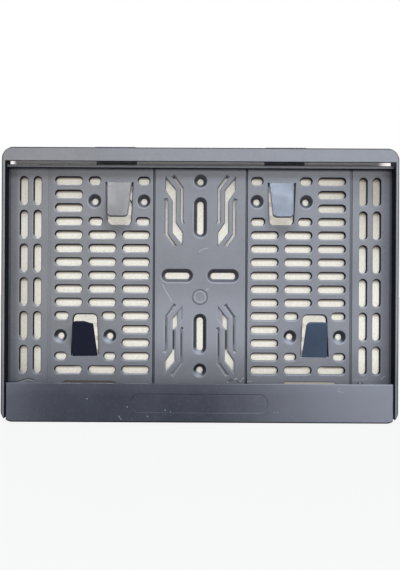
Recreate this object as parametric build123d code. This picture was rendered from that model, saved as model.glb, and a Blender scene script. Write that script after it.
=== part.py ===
from build123d import *
import os
from math import atan2, cos, floor, sin

# Number plate holder for a two-line plate: a slotted base frame with a fixed top lip,
# and a strip that clips in front of its lower edge and keeps the plate from sliding out.
#
# Millimetres. Each piece is drawn lying on its back: x to the right, y up the plate, and
# z the depth in front of the back plane. stand_up() turns it upright: X right, Z up and
# the front towards -Y, with the centre of the slot grid on the back plane at the origin.

# Plate that the holder takes
PLATE_W = 340.0
PLATE_H = 210.0
PLATE_CENTRE = 3.0  # height of the plate's centre above the grid's centre line
PLATE_CLEAR = 1.0  # room left at each edge of the plate

# Shell of the base frame
WALL_T = 3.0
INNER_CORNER_R = 7.0
EDGE_R = 1.0  # rounding of the outer front edge
STANDOFF = 2.0  # rim and screw bosses behind the panel
RIM_T = 3.0
PANEL_T = 3.0
WALL_H = 11.0  # wall above the panel's front
LIP_T = 2.2
LIP_GRIP = 8.4  # how far the top lip reaches over the plate
PAD_X = 75.0  # bridges in the top gap, with a pad above each on the top edge
PAD_W = 36.0
PAD_H = 0.9
RIB_T = 2.8
RIB_H = 4.5
RIB_GAP = 1.6  # from the lip's edge down to the rib

# Bottom strip
STRIP_T = 2.5
STRIP_H = 34.4
STRIP_GRIP = 7.4  # how far the strip reaches over the plate
STRIP_GAP = 1.1  # from each end of the strip to the side wall
STRIP_EDGE_R = 2.0
FLANGE_T = 2.5
FIELD_W = 120.0  # plain sunk label field
FIELD_H = 16.0
FIELD_DEPTH = 0.5
HOOK_X = 98.5
HOOK_W = 40.0
HOOK_T = 2.2
HOOK_CATCH = 1.5
HOOK_CLEAR = 0.3  # between a hook and the edge that it catches
HOOK_SIDE = 5.0  # from a hook's side to the side of its window
WINDOW_R = 5.0

# Fields of the panel, from the middle outwards
CENTRE_FIELD_W = 82.6
GROOVE_W = 1.4
GROOVE_DEPTH = 1.2
SOFT_GROOVE_W = 2.4
SOFT_GROOVE_DEPTH = 0.6

# Slot grid of each half
COLUMNS = 3
ROWS = 15
COLUMN_PITCH = 30.0
COLUMN_LAND = 5.0
ROW_LAND = 4.5
GRID_INNER_MARGIN = 3.7
GRID_OUTER_MARGIN = 4.6
GRID_TOP_MARGIN = 7.0
GRID_BOTTOM_MARGIN = 6.4
SLOT_DRAFT = 18.0  # degrees, slope of the slots' walls: they narrow towards the back

# Upright slots between the grid and the side walls, as many columns as fit
SIDE_ROWS = 6
SIDE_SLOT_W = 7.5
SIDE_LAND = 4.7
SIDE_END_LAND = 4.5
SIDE_GRID_MARGIN = 7.1
SIDE_WALL_MARGIN = 6.0  # least room left beside the wall

# Spring tongues, each between two columns and four rows of the grid
UPPER_ROW = 0  # first row of the upper pair, hinged at the top
LOWER_ROW = 10  # first row of the lower pair, hinged at the bottom
TONGUE_ROWS = 4
TONGUE_T = 2.2
TONGUE_TIP_R = 4.0
TONGUE_RUN = 31.5
TONGUE_RISE = 12.5
TONGUE_LAP = 1.5  # root let into the panel
UPPER_INSET = 1.42  # upper hinge lines, down from the first row's centre
LOWER_INSET = 0.16  # lower hinge lines, up from the last row's centre
TONGUE_SIDE_GAP = 1.4
TONGUE_TIP_GAP = 1.8
TONGUE_END_GAP = 6.4
TONGUE_CUT_R = 4.5
SHORT_ROOT_L = 11.2  # short slots beside the hinge
SHORT_TIP_L = 12.9  # short slots beside the tip
SHORT_LAND = 3.7  # from a short slot to the cut round the tongue
CHIP_START = 1.3  # tip broken lower on the right of the lower left tongue's centre line
CHIP_SLOPE = 5.8
CHIP_DEPTH = 1.9

# Countersunk screw holes and slots
HOLE_R = 2.75
SINK_R = 6.2
SLOT_SINK_R = 6.2
SINK_DEPTH = 3.2
BOSS_WALL = 1.5
SCREW_INSET = 5.5  # holes beside a tongue, in from the slots' outer ends
TALL_SLOT_L = 29.5
TALL_SLOT_Y = 52.0
WIDE_SLOT_L = 22.0
WIDE_SLOT_X = 20.5

# Round mould mark with the sprue's stub in its middle
MARK_Y = -19.0
MARK_R = 7.0
MARK_LINE = 0.8
MARK_DEPTH = 0.4
BEAD_R = 4.9  # raised ring inside the mark
BEAD_W = 0.8
STUB_R = 1.5

# Zig-zag slits: corners of the upper left group, measured from its centre
ZIGZAG_X = 23.5
ZIGZAG_Y = 57.5
ZIGZAG_CORNERS = [(-7.7, 30.5), (-7.7, 19.0), (-1.65, 9.8), (-1.65, -18.8)]
ZIGZAG_SIDE_LINE = [(-7.8, 11.0), (-6.8, 8.5), (-6.8, -20.5), (1.0, -31.6)]
ZIGZAG_SIDE_W = 2.6
ZIGZAG_DRAFT = 9.0  # degrees, slope of the upper slits' walls
LOWER_ZIGZAG_DRAFT = 20.0  # the lower slits almost close towards the back
ZIGZAG_CUT = 0.1  # how far the cutters reach behind the panel
FLASH_X = 4.0  # flash fills the lower slits' inner ends from here on
FLASH_DEPTH = 1.2  # depth left in front of the flash

# Worked out from the sizes above
PANEL_FRONT = STANDOFF + PANEL_T
FRONT = PANEL_FRONT + WALL_H
STRIP_BACK = FRONT - STRIP_T
INNER_W = PLATE_W + 2 * PLATE_CLEAR
OUTER_W = INNER_W + 2 * WALL_T
PLATE_TOP = PLATE_CENTRE + PLATE_H / 2
PLATE_BOTTOM = PLATE_CENTRE - PLATE_H / 2
INNER_TOP = PLATE_TOP + PLATE_CLEAR
TOP = INNER_TOP + WALL_T
LIP_EDGE = PLATE_TOP - LIP_GRIP
RIB_TOP = LIP_EDGE - RIB_GAP
RIB_BOTTOM = RIB_TOP - RIB_T
STRIP_TOP = PLATE_BOTTOM + STRIP_GRIP
BOTTOM = STRIP_TOP - STRIP_H
OUTER_H = TOP - BOTTOM
STRIP_W = INNER_W - 2 * STRIP_GAP
HOOK_TOP = PLATE_BOTTOM - PLATE_CLEAR
HOOK_BOTTOM = HOOK_TOP - HOOK_T
WINDOW_BOTTOM = HOOK_BOTTOM - HOOK_CLEAR
HOOK_TIP = HOOK_CLEAR  # depth at which a hook ends, just in front of the back plane
HOOK_SEAT = STANDOFF - HOOK_CLEAR

CENTRE_EDGE = CENTRE_FIELD_W / 2
GRID_X = CENTRE_EDGE + GRID_INNER_MARGIN
GRID_W = COLUMNS * COLUMN_PITCH - COLUMN_LAND
SIDE_EDGE = GRID_X + GRID_W + GRID_OUTER_MARGIN
GRID_TOP = RIB_BOTTOM - GRID_TOP_MARGIN
GRID_H = GRID_TOP - STRIP_TOP - GRID_BOTTOM_MARGIN
ROW_PITCH = (GRID_H + ROW_LAND) / ROWS
SLOT_L = COLUMN_PITCH - COLUMN_LAND
SLOT_W = ROW_PITCH - ROW_LAND
COLUMN_X = [GRID_X + SLOT_L / 2 + COLUMN_PITCH * i for i in range(COLUMNS)]
ROW_Y = [GRID_TOP - SLOT_W / 2 - ROW_PITCH * i for i in range(ROWS)]
SIDE_PITCH = SIDE_SLOT_W + SIDE_LAND
SIDE_ROW_PITCH = (GRID_H + SIDE_END_LAND) / SIDE_ROWS
SIDE_SLOT_L = SIDE_ROW_PITCH - SIDE_END_LAND
SIDE_START = SIDE_EDGE + SIDE_GRID_MARGIN
SIDE_COLUMNS = floor((INNER_W / 2 - SIDE_WALL_MARGIN - SIDE_START + SIDE_LAND) / SIDE_PITCH)
SIDE_X = [SIDE_START + SIDE_SLOT_W / 2 + SIDE_PITCH * i for i in range(SIDE_COLUMNS)]
SIDE_Y = [GRID_TOP - SIDE_SLOT_L / 2 - SIDE_ROW_PITCH * i for i in range(SIDE_ROWS)]

CLUSTER_HALF = (COLUMN_PITCH + SLOT_L) / 2
SCREW_DX = CLUSTER_HALF - SCREW_INSET
CLUSTER_REACH = (TONGUE_ROWS - 1) / 2 * ROW_PITCH
HINGE_DY = {1: CLUSTER_REACH - UPPER_INSET, -1: CLUSTER_REACH - LOWER_INSET}
CUT_ROOT_HALF = CLUSTER_HALF - SHORT_ROOT_L - SHORT_LAND
CUT_END_HALF = CLUSTER_HALF - SHORT_TIP_L - SHORT_LAND
TONGUE_ROOT_HALF = CUT_ROOT_HALF - TONGUE_SIDE_GAP
TONGUE_TIP_HALF = CUT_END_HALF - TONGUE_TIP_GAP
CUT_RUN = TONGUE_RUN + TONGUE_END_GAP
TONGUE_TILT = atan2(TONGUE_RISE, TONGUE_RUN)
TONGUE_LENGTH = TONGUE_RUN / cos(TONGUE_TILT)
THROUGH = FRONT  # cutters reach this far behind and past what they cut


def stand_up(solid):
    """Turns a piece drawn lying on its back upright, with its front towards -Y."""
    return Plane.XZ * solid


def prism(sketch, low, high):
    """Solid of a sketch between two depths."""
    return extrude(Pos(0, 0, low) * sketch, amount=high - low, dir=(0, 0, 1))


def narrowing(sketch, depth, draft):
    """Cutter from the panel's front down to a depth, drawn at the front."""
    return extrude(Pos(0, 0, PANEL_FRONT) * sketch, amount=depth, dir=(0, 0, -1), taper=draft)


def drafted(sketch):
    """Cutter for an opening through the panel, drawn at the front and narrowing to the back."""
    return narrowing(sketch, PANEL_FRONT, SLOT_DRAFT)


def both_sides(points):
    """The points and their mirror images in the centre line."""
    return [(side * x, y) for side in (-1, 1) for x, y in points]


def band(x_low, x_high, y_low, y_high):
    """Rectangle between two x and two y values."""
    return Pos((x_low + x_high) / 2, (y_low + y_high) / 2) * Rectangle(x_high - x_low, y_high - y_low)


def outline():
    return Pos(0, (TOP + BOTTOM) / 2) * RectangleRounded(OUTER_W, OUTER_H, INNER_CORNER_R + WALL_T)


def plate_space(top):
    """Outline of the space between the walls, open at the bottom, up to the given height."""
    space = band(-INNER_W / 2, INNER_W / 2, BOTTOM - WALL_T, INNER_TOP)
    corners = space.vertices().group_by(Axis.Y)[-1]
    return fillet(corners, INNER_CORNER_R) & band(-OUTER_W, OUTER_W, BOTTOM - WALL_T, top)


def clusters():
    """Centre and hinge side (1 top, -1 bottom) of each tongue."""
    upper = (ROW_Y[UPPER_ROW] + ROW_Y[UPPER_ROW + TONGUE_ROWS - 1]) / 2
    lower = (ROW_Y[LOWER_ROW] + ROW_Y[LOWER_ROW + TONGUE_ROWS - 1]) / 2
    inner_x = (COLUMN_X[0] + COLUMN_X[1]) / 2
    outer_x = (COLUMN_X[1] + COLUMN_X[2]) / 2
    uppers = [(x, y, 1) for x, y in both_sides([(inner_x, upper)])]
    lowers = [(x, y, -1) for x, y in both_sides([(outer_x, lower)])]
    return uppers + lowers


def taken_by_tongue(column, row):
    upper_rows = range(UPPER_ROW, UPPER_ROW + TONGUE_ROWS)
    lower_rows = range(LOWER_ROW, LOWER_ROW + TONGUE_ROWS)
    return (column < 2 and row in upper_rows) or (column > 0 and row in lower_rows)


def grid_slots():
    cells = [(c, r) for c in range(COLUMNS) for r in range(ROWS) if not taken_by_tongue(c, r)]
    centres = both_sides([(COLUMN_X[c], ROW_Y[r]) for c, r in cells])
    return [Pos(x, y) * SlotOverall(SLOT_L, SLOT_W) for x, y in centres]


def side_slots():
    centres = both_sides([(x, y) for x in SIDE_X for y in SIDE_Y])
    return [Pos(x, y) * SlotOverall(SIDE_SLOT_L, SIDE_SLOT_W, rotation=90) for x, y in centres]


def tongue_cut(x, y, hinge):
    """Cut round a tongue, wider at the hinge, with its two far corners rounded."""
    root = hinge * HINGE_DY[hinge]
    end = root - hinge * CUT_RUN
    corners = [(-CUT_ROOT_HALF, root), (CUT_ROOT_HALF, root), (CUT_END_HALF, end), (-CUT_END_HALF, end)]
    shape = Polygon(*corners, align=None)
    far = shape.vertices().sort_by(Axis.Y, reverse=hinge < 0)[:2]
    return Pos(x, y) * fillet(far, TONGUE_CUT_R)


def short_slots(x, y, hinge):
    """Four slots at the corners of a tongue's place, ending in line with the grid."""
    slots = []
    for dy, length in ((hinge * CLUSTER_REACH, SHORT_ROOT_L), (-hinge * CLUSTER_REACH, SHORT_TIP_L)):
        for side in (-1, 1):
            dx = side * (CLUSTER_HALF - length / 2)
            slots.append(Pos(x + dx, y + dy) * SlotOverall(length, SLOT_W))
    return slots


def tip_chip():
    """What is broken off a tongue's tip, with the hinge at the top and the tip below it."""
    tip = -TONGUE_LENGTH
    floor = tip + CHIP_DEPTH
    break_end = CHIP_START + CHIP_SLOPE
    return Polygon(
        (-CHIP_START, tip), (-break_end, floor), (-CUT_END_HALF, floor), (-CUT_END_HALF, tip), align=None
    )


def tongue(x, y, hinge):
    """Spring tongue bent forward from its hinge line on the panel's front."""
    half = [(TONGUE_ROOT_HALF, TONGUE_LAP), (TONGUE_ROOT_HALF, 0), (TONGUE_TIP_HALF, -TONGUE_LENGTH)]
    shape = Polygon(*half, *[(-x, y) for x, y in reversed(half)], align=None)
    shape = fillet(shape.vertices().sort_by(Axis.Y)[:2], TONGUE_TIP_R)
    if hinge < 0 and x < 0:
        shape -= tip_chip()
    face = Plane(
        origin=(x, y + hinge * HINGE_DY[hinge], PANEL_FRONT),
        x_dir=(hinge, 0, 0),
        z_dir=(0, hinge * sin(TONGUE_TILT), cos(TONGUE_TILT)),
    )
    return extrude(face * shape, amount=TONGUE_T, dir=-face.z_dir)


def zigzag(draft, filled):
    """Cutters for one group of three slits, the middle one with flared ends."""
    turned = [(-x, -y) for x, y in ZIGZAG_CORNERS]
    middle = Polygon(*ZIGZAG_CORNERS, *turned, align=None)
    side = trace(Polyline(*ZIGZAG_SIDE_LINE), line_width=ZIGZAG_SIDE_W)
    slits = [middle, side, Rot(0, 0, 180) * side]
    cutters = []
    if filled:
        cutters.append(narrowing(middle, FLASH_DEPTH, draft))
        slits[0] = middle & band(-CENTRE_EDGE, FLASH_X, -ZIGZAG_Y, ZIGZAG_Y)
    cutters += [narrowing(slit, PANEL_T + ZIGZAG_CUT, draft) for slit in slits]
    return [Pos(-ZIGZAG_X, ZIGZAG_Y) * cutter for cutter in cutters]


def zigzags():
    lower = [mirror(cutter, about=Plane.XZ) for cutter in zigzag(LOWER_ZIGZAG_DRAFT, True)]
    left = zigzag(ZIGZAG_DRAFT, False) + lower
    return left + [mirror(cutter, about=Plane.YZ) for cutter in left]


def top_gaps():
    """Gaps in the panel behind the lip, left by the mould, between the walls and the bridges."""
    bridges = [band(x - PAD_W / 2, x + PAD_W / 2, RIB_BOTTOM, TOP) for x in (-PAD_X, PAD_X)]
    return plate_space(TOP) & band(-OUTER_W, OUTER_W, RIB_TOP, TOP) - bridges


def hook_windows():
    half = HOOK_W / 2 + HOOK_SIDE
    window = band(-half, half, WINDOW_BOTTOM, STRIP_TOP)
    window = fillet(window.vertices().group_by(Axis.Y)[-1], WINDOW_R)
    return [Pos(x, 0) * window for x in (-HOOK_X, HOOK_X)]


def screw_holes():
    """Centres of the round countersunk holes: beside the tongues, and at the grid's ends."""
    beside = [(x + side * SCREW_DX, y) for x, y, hinge in clusters() for side in (-1, 1)]
    return beside + [(0, ROW_Y[0]), (0, ROW_Y[-1])]


def screw_slots():
    """Centre, length and turn of each countersunk slot of the middle field."""
    tall = [(0, y, TALL_SLOT_L, 90) for y in (-TALL_SLOT_Y, TALL_SLOT_Y)]
    return tall + [(x, 0, WIDE_SLOT_L, 0) for x in (-WIDE_SLOT_X, WIDE_SLOT_X)]


def bosses():
    rounds = [Pos(x, y) * Circle(SINK_R + BOSS_WALL) for x, y in screw_holes()]
    width = 2 * (SLOT_SINK_R + BOSS_WALL)
    longs = []
    for x, y, length, turn in screw_slots():
        outer_length = length - 2 * HOLE_R + width
        longs.append(Pos(x, y) * SlotOverall(outer_length, width, rotation=turn))
    return prism(Sketch() + rounds + longs, 0, STANDOFF)


def sunk_hole(sink_r):
    """Cutter for one countersunk hole through the panel and its boss."""
    low = (Align.CENTER, Align.CENTER, Align.MIN)
    cone = Pos(0, 0, PANEL_FRONT - SINK_DEPTH) * Cone(HOLE_R, sink_r, SINK_DEPTH, align=low)
    return cone + Cylinder(HOLE_R, PANEL_FRONT, align=low)


def sunk_slot(length):
    """Cutter for a countersunk slot along x: a sunk hole at each end and a trough between."""
    half_run = length / 2 - HOLE_R
    floor = PANEL_FRONT - SINK_DEPTH
    section = [(HOLE_R, 0), (HOLE_R, floor), (SLOT_SINK_R, PANEL_FRONT)]
    section += [(-y, z) for y, z in reversed(section)]
    trough = extrude(Plane.YZ * Polygon(*section, align=None), amount=half_run, both=True)
    ends = [Pos(x, 0, 0) * sunk_hole(SLOT_SINK_R) for x in (-half_run, half_run)]
    return trough + ends


def screw_cutters():
    cutters = [Pos(x, y, 0) * sunk_hole(SINK_R) for x, y in screw_holes()]
    for x, y, length, turn in screw_slots():
        cutters.append(Pos(x, y, 0) * Rot(0, 0, turn) * sunk_slot(length))
    return cutters


def grooves():
    """Fold lines in the panel's front, from the rib to below the hook windows."""
    low = WINDOW_BOTTOM - WINDOW_R
    lines = []
    for edge, width, depth in (
        (CENTRE_EDGE, GROOVE_W, GROOVE_DEPTH),
        (SIDE_EDGE, SOFT_GROOVE_W, SOFT_GROOVE_DEPTH),
    ):
        for x in (-edge, edge):
            line = band(x - width / 2, x + width / 2, low, RIB_BOTTOM)
            lines.append(prism(line, PANEL_FRONT - depth, FRONT))
    return lines


def mould_mark():
    ring = Pos(0, MARK_Y) * (Circle(MARK_R) - Circle(MARK_R - MARK_LINE))
    return prism(ring, PANEL_FRONT - MARK_DEPTH, FRONT)


def make_base_frame():
    block = prism(outline(), 0, FRONT)
    block = fillet(block.edges().group_by(Axis.Z)[-1], EDGE_R)
    frame = block - prism(plate_space(TOP), PANEL_FRONT, FRONT - LIP_T)
    frame -= prism(plate_space(LIP_EDGE), FRONT - LIP_T, FRONT)
    frame -= prism(offset(outline(), -RIM_T), 0, STANDOFF)
    frame += bosses()
    slots = grid_slots() + side_slots()
    for x, y, hinge in clusters():
        slots.append(tongue_cut(x, y, hinge))
        slots += short_slots(x, y, hinge)
    frame -= [drafted(slot) for slot in slots]
    openings = hook_windows() + [top_gaps()]
    frame -= [prism(opening, -THROUGH, PANEL_FRONT) for opening in openings]
    frame -= zigzags() + screw_cutters() + grooves() + [mould_mark()]
    rib = prism(band(-INNER_W / 2, INNER_W / 2, RIB_BOTTOM, RIB_TOP), PANEL_FRONT, PANEL_FRONT + RIB_H)
    pads = [band(x - PAD_W / 2, x + PAD_W / 2, INNER_TOP, TOP + PAD_H) for x in (-PAD_X, PAD_X)]
    bead = Circle(BEAD_R + BEAD_W / 2) - Circle(BEAD_R - BEAD_W / 2)
    raised = [Pos(0, MARK_Y) * shape for shape in (Circle(STUB_R), bead)]
    frame += [prism(shape, PANEL_FRONT, PANEL_FRONT + MARK_DEPTH) for shape in raised]
    frame += [rib] + [prism(pad, STANDOFF, FRONT - LIP_T) for pad in pads]
    frame += [tongue(x, y, hinge) for x, y, hinge in clusters()]
    return frame


def hook(x):
    """Arm from the strip's back through a window, with a barb that catches behind the panel."""
    side = HOOK_W / 2
    arm = prism(band(x - side, x + side, HOOK_BOTTOM, HOOK_TOP), HOOK_TIP, STRIP_BACK)
    barb_end = WINDOW_BOTTOM - HOOK_CATCH
    barb = [(HOOK_BOTTOM, HOOK_TIP), (HOOK_BOTTOM, HOOK_SEAT), (barb_end, HOOK_SEAT)]
    barb += [(barb_end, (HOOK_TIP + HOOK_SEAT) / 2), (WINDOW_BOTTOM, HOOK_TIP)]
    return arm + Pos(x, 0, 0) * extrude(Plane.YZ * Polygon(*barb, align=None), amount=side, both=True)


def make_bottom_strip():
    shape = outline() & band(-STRIP_W / 2, STRIP_W / 2, BOTTOM, STRIP_TOP)
    block = prism(shape, PANEL_FRONT, FRONT)
    front = block.edges().group_by(Axis.Z)[-1].sort_by(Axis.Y)[:-1]
    block = fillet(front, STRIP_EDGE_R)
    strip = block - prism(offset(outline(), -FLANGE_T), PANEL_FRONT, STRIP_BACK)
    field = Pos(0, (STRIP_TOP + BOTTOM) / 2) * SlotOverall(FIELD_W, FIELD_H)
    strip -= prism(field, FRONT - FIELD_DEPTH, FRONT)
    return strip + [hook(x) for x in (-HOOK_X, HOOK_X)]


os.makedirs("parts", exist_ok=True)
export_step(stand_up(make_base_frame()), "parts/base_frame.step")
export_step(stand_up(make_bottom_strip()), "parts/bottom_strip.step")
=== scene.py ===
import math
from collections import namedtuple

import bpy
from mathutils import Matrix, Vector


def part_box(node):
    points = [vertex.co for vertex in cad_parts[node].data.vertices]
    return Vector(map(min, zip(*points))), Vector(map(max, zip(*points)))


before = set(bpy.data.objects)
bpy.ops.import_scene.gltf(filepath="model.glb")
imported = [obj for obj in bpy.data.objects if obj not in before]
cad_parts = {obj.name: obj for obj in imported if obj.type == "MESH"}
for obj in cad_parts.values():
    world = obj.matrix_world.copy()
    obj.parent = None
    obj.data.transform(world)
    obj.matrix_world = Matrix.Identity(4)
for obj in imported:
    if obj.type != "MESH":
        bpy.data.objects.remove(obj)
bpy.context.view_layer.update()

# Places in the frame, in metres: the front faces -Y and Z is up
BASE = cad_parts["base_frame"]
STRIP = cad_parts["bottom_strip"]
BASE_LOW, BASE_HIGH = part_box("base_frame")
STRIP_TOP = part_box("bottom_strip")[1].z
TOP_EDGE = 0.112  # without the pads on it
PANEL_Y = -0.005
PANEL_SLACK = 0.001
MARK_Z = -0.019
MARK_HALF = 0.009
GROOVE_X = 0.0413
GROOVE_HALF = 0.0011
SOFT_GROOVE_X = 0.1346
SOFT_GROOVE_HALF = 0.002
RIB_Y = (-0.0115, -0.0056)
RIB_Z = (0.0945, 0.0985)
SLIT_X = (0.0135, 0.0345)
SLIT_HEIGHTS = [(0.022, 0.092), (-0.092, -0.022)]
PAST_ALL = 0.2  # further out than any edge of the part

# Spring tongues: x of the centre line, then lowest and highest z
UPPER_TONGUE = (0.0725, 0.0505, 0.0835)
LOWER_TONGUE = (0.1025, -0.0727, -0.0397)
TONGUE_HALF = 0.0115
TONGUE_FRONT = -0.0056  # what lies in front of this stands clear of the panel

# Outer outline, a rectangle with rounded corners
OUTLINE_HIGH = Vector((BASE_HIGH.x, BASE_HIGH.y, TOP_EDGE))
OUTLINE_CENTRE = (BASE_LOW + OUTLINE_HIGH) / 2
OUTLINE_HALF = (OUTLINE_HIGH - BASE_LOW) / 2
OUTLINE_CORNER = 0.010
OUTLINE_BAND = 0.0017

# Camera: the photograph's distance and its slight turn
CAMERA_AWAY = 0.53
CAMERA_Z = -0.0082
CAMERA_LENS = 37.5
CAMERA_ROLL = math.radians(0.3)

# Rounding of the moulded edges, with the share of it that finer edges get
EDGE_WIDTH = 0.0007
EDGE_SEGMENTS = 3
SHARP_ANGLE = math.radians(25)
FLAT_ANGLE = math.radians(0.4)
CREASE_ANGLE = math.radians(40)
WELD_DISTANCE = 0.00001
WORN_AND_HIGHLIT_EDGES = 1  # place of the worn and highlit finish in a piece's list of materials
BASE_SHARE = 1.0
STRIP_SHARE = 0.7
FINE_BOXES = [
    ((-MARK_HALF, MARK_Z - MARK_HALF), (MARK_HALF, MARK_Z + MARK_HALF), 0.0),
    ((SOFT_GROOVE_X - SOFT_GROOVE_HALF, -PAST_ALL), (SOFT_GROOVE_X + SOFT_GROOVE_HALF, PAST_ALL), 0.2),
]

# Faces with a finish of their own, chosen by the Y of their normal, -1 at the front, and by their place
WALL_TURN = -0.6
SIDE_TURN = -0.35
BACK_TURN = 0.5
WALL_LIGHT = (0.35, 0.94)  # way to the light, in x and z
WALL_LIT = 0.36  # a wall turned to the light by less than this stays dark
STEEP_TURN = 0.5
OUTER_SHARE = 0.5
RIM_TURN = -0.985
RIM_BARE = 0.0011
PAD_TURN = -0.6
PAD_EDGE = (0.1119, 0.1122)
SINK_TURN = (-0.80, -0.66)
SINK_Y = (-0.00495, 0.0)
SLIT_TURN = -0.05
TONGUE_TURN = -0.8
UNDER_TURN = -0.35  # the Z of the normal, for the strip's under side

# Bloom and painted sheen on the panel: how much is lost where, as painted shade. A range is a start and an
# end, then the loss at each
WEATHER_AND_LIGHT = (0.27, -0.75, 0.6)  # way that the weather and the light come from
BACK_SHARE = 0.3
# Painted shade on the outline rounding, the groove floors and the rib in the lip's shadow
OUTLINE_LOSS = (*PAD_EDGE, 0.75, 0.45)
SUNK_Y = -0.0046
SUNK_LOSS = 0.88
SOFT_FLOOR_HALF = 0.0013
SOFT_FLOOR_Y = (PANEL_Y - 0.0001, PANEL_Y + 0.001)
SOFT_LOSS = 0.64
RIB_LOSS = 0.28
# Painted shade low down, at the top under the lip, more to the right, and by the walls
LOW_HEIGHT = (-0.048, -0.098)
LOW_LOSS = (0.02, 0.09, 0.31, 0.16)
HIGH_HEIGHT = (0.058, 0.084)
HIGH_LOSS = (0.085, 0.16, 0.15, 0.40)
WALL_LOSSES = [
    (-0.1595, -0.1665, 0.0, 0.45),
    (0.150, 0.167, 0.0, 0.48),
    (-0.1675, -0.1695, 0.0, 0.85),
    (0.1675, 0.1695, 0.0, 0.88),
]

# Paler stretch low in the middle field, by height and from side to side
LIFT_START = (-0.004, -0.034)
LIFT_END = (-0.056, -0.084, 1.0, 0.0)
LIFT_LEFT = (-0.046, -0.036, 0.0, 0.85)
LIFT_RIGHT = (0.041, 0.046, 0.0, -0.5)
LIFT_TINT = 1.4

# Finishes: black plastic, and the grey bloom, partly painted sheen, on the faces turned forward and to the
# light
BLACK = (0.026, 0.028, 0.036, 1)
# Darker black of faces turned from the light, a painted shade
WALL_SHADE_BLACK = (0.010, 0.011, 0.016, 1)
SIDE_BLACK = (0.042, 0.044, 0.052, 1)
# Near-black of the strip's under side, a painted shade
UNDER_SHADE_BLACK = (0.004, 0.004, 0.005, 1)
BLOOM_AND_SHEEN = (0.210, 0.214, 0.234, 1)
# Paler grey of rounded edges and slit walls, partly wear and partly painted highlight
EDGE_BLOOM_AND_HIGHLIGHT = (0.252, 0.258, 0.284, 1)
SINK_BLOOM_AND_SHEEN = (0.11, 0.114, 0.133, 1)
# Painted glints, low down on the countersink cones and the slit walls
SINK_GLINT = (0.34, 0.37, 0.43, 1)
SLIT_GLINT = (0.38, 0.39, 0.42, 1)
GLINT_HEIGHT = (-0.02, -0.05)
WARMTH = (1.035, 1.005, 0.945)
WARM_SIDE = (-0.17, 0.08)
WARM_HEIGHT = (-0.02, -0.08)
# Lower tongues: near-black as a painted dark reflection, with patches of painted bluish reflection on the
# lower right one
LOWER_TONGUE_SHADE = (0.0004, 0.0015, 0.020, 1)
TONGUE_BLUE_REFLECTION = (0.072, 0.106, 0.163, 1)
TONGUE_PATCHES = (0.2, 0.8, 0.75, 1.0)
TONGUE_GLOSS = (0.17, 0.25)
TONGUE_GRAIN = 0.03
TONGUE_SPECULAR = 0.21
STRIP_BLACK = (0.018, 0.023, 0.038, 1)
# Painted sheen on the strip, towards the right end, a little at the left end and along the top; its grey is
# also the dust
STRIP_SHEEN_AND_DUST = (0.244, 0.254, 0.294, 1)
STRIP_RIGHT_SHEEN = (-0.02, 0.19, 0.0, 1.0)
STRIP_LEFT_SHEEN = (-0.115, -0.18, 0.0, 0.3)
STRIP_UPPER_SHEEN = (STRIP_TOP - 0.014, STRIP_TOP - 0.001, 0.0, 0.10)
STRIP_LIMITS = (0.1, 0.7)
STRIP_PATCHES = (-0.03, 0.05)
STRIP_DUST = (0.5, 0.85, 0.0, 0.12)
STRIP_GLOSS = 0.04
STRIP_GRAIN = 0.06
PLASTIC_SPECULAR = 0.5
DULL = (0.8, 0.2, 0.08)  # roughness, grain and specular level
SATIN = (0.5, 0.25, 0.4)

# Noises: scale, detail and roughness
FRAME_CLOUD = (34.0, 5.0, 0.62)
STRIP_CLOUD = (30.0, 5.0, 0.62)
TONGUE_CLOUD = (60.0, 4.0, 0.6)
FINE = (420.0, 3.0, 0.6)
GRAIN = (1700.0, 2.0, 0.5)
FIBRE = (900.0, 4.0, 0.7)

# What the noises change: the part of their spread that counts, and tints and gloss at its two ends
CLOUD_SPREAD = (0.25, 0.75)
CLOUD_EDGES = (0.3, 0.72)
FINE_SPREAD = (0.3, 0.7)
CLOUD_TINTS = (0.93, 1.07)
BARE_TINTS = (0.8, 1.3)
DULL_TINTS = (0.8, 1.4)
FIBRE_TINTS = (0.87, 1.08)
DUST = (0.45, 0.85, 0.0, 0.3)
DUST_TINT = 1.45
CLOUD_GLOSS = (-0.06, 0.05)
FINE_GLOSS = (-0.03, 0.03)
GRAIN_DEPTH = 0.0002

# Light: a broad key from the upper right, and one box mirrored in each upper tongue
KEY_PLACE = (0.45, -1.1, 0.48)
KEY_SIZE = (1.2, 0.35)
KEY_POWER = 8.0
KEY_COLOUR = (0.97, 0.985, 1.0)
MIRROR_PLACE = (0.208, -0.627, 0.842)
MIRROR_TARGET = (0.0725, -0.011, 0.067)
MIRROR_SIZE = (0.193, 0.193)
MIRROR_POWER = 3.5
MIRRORS = [("mirror_left", -1, (1.0, 1.0, 1.0)), ("mirror_right", 1, (0.95, 1.1, 1.35))]
BACK_PLACE = (-0.45, 0.9, 0.55)
BACK_SIZE = (0.6, 0.6)
BACK_POWER = 7.0
NEUTRAL = (1.0, 1.0, 1.0)
SKY_ABOVE = (0.20, 0.205, 0.215, 1)
SKY_BELOW = (0.06, 0.06, 0.065, 1)
SKY_RISE = (-0.5, 0.7)
WHITE = (1, 1, 1, 1)

# Stage: a floor, and a sheet of paper behind the holder
FLOOR_DROP = 0.0005
FLOOR_Z = BASE_LOW.z - FLOOR_DROP
FLOOR_HALF = 6.0
FLOOR_COLOUR = (0.45, 0.45, 0.45, 1)
FLOOR_GLOW = 0.88
PAPER_Y = 0.0006
PAPER_INSET = 0.0015
PAPER_TOP_INSET = 0.003
PAPER_CORNER = 0.009
PAPER_CORNER_STEPS = 8
PAPER_COLOUR = (0.97, 0.925, 0.835, 1)
PAPER_BROWN = (0.115, 0.070, 0.036, 1)
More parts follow.
